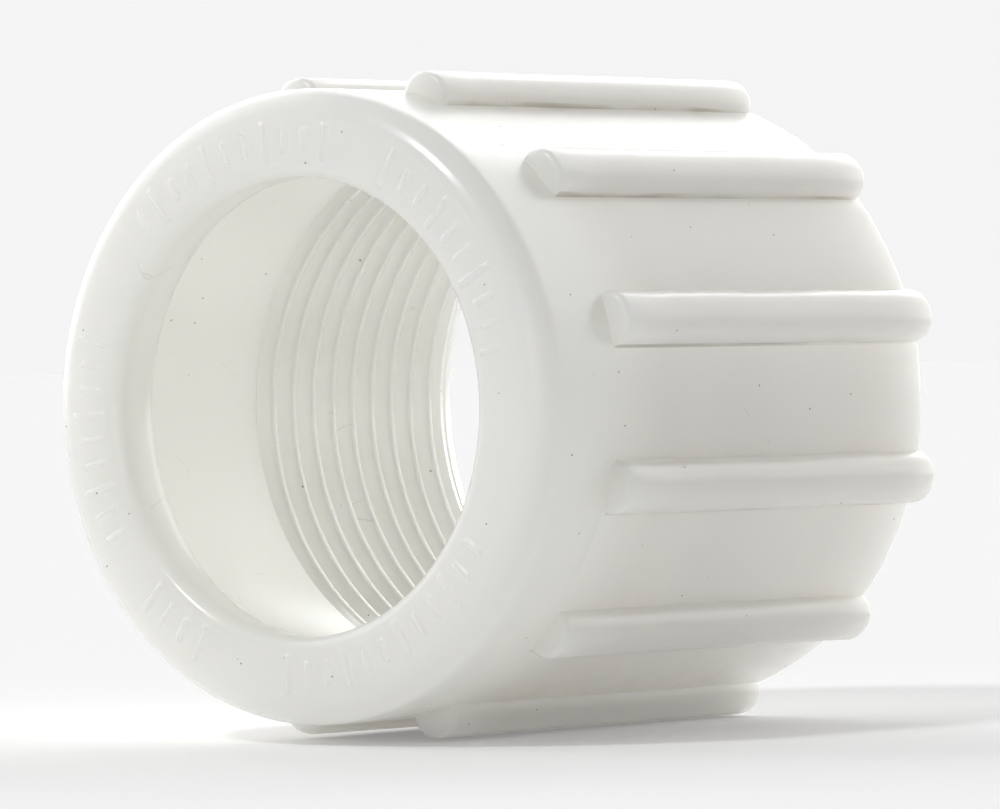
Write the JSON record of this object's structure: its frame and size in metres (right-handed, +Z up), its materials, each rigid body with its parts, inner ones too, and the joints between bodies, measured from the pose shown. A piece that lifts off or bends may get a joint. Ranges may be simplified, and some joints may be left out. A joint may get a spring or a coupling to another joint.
{
  "type": "union nut",
  "caption": "White plastic union nut with grip ribs, a smooth collar at one end and an internal screw thread at the other.",
  "frame": {"origin": "centre of the nut's bounding box, which is on the thread's axis", "axes": "+Y along the thread's axis, from the collar face to the screwed mouth; +Z up, with the nut lying on two of its ribs"},
  "size_m": [0.0452, 0.0432, 0.0452],
  "materials": {
    "white_plastic": "semi-gloss white moulded pipe-fitting plastic, slightly translucent"
  },
  "bodies": {
    "root": {"union_nut": "white_plastic"}
  },
  "joints": []
}
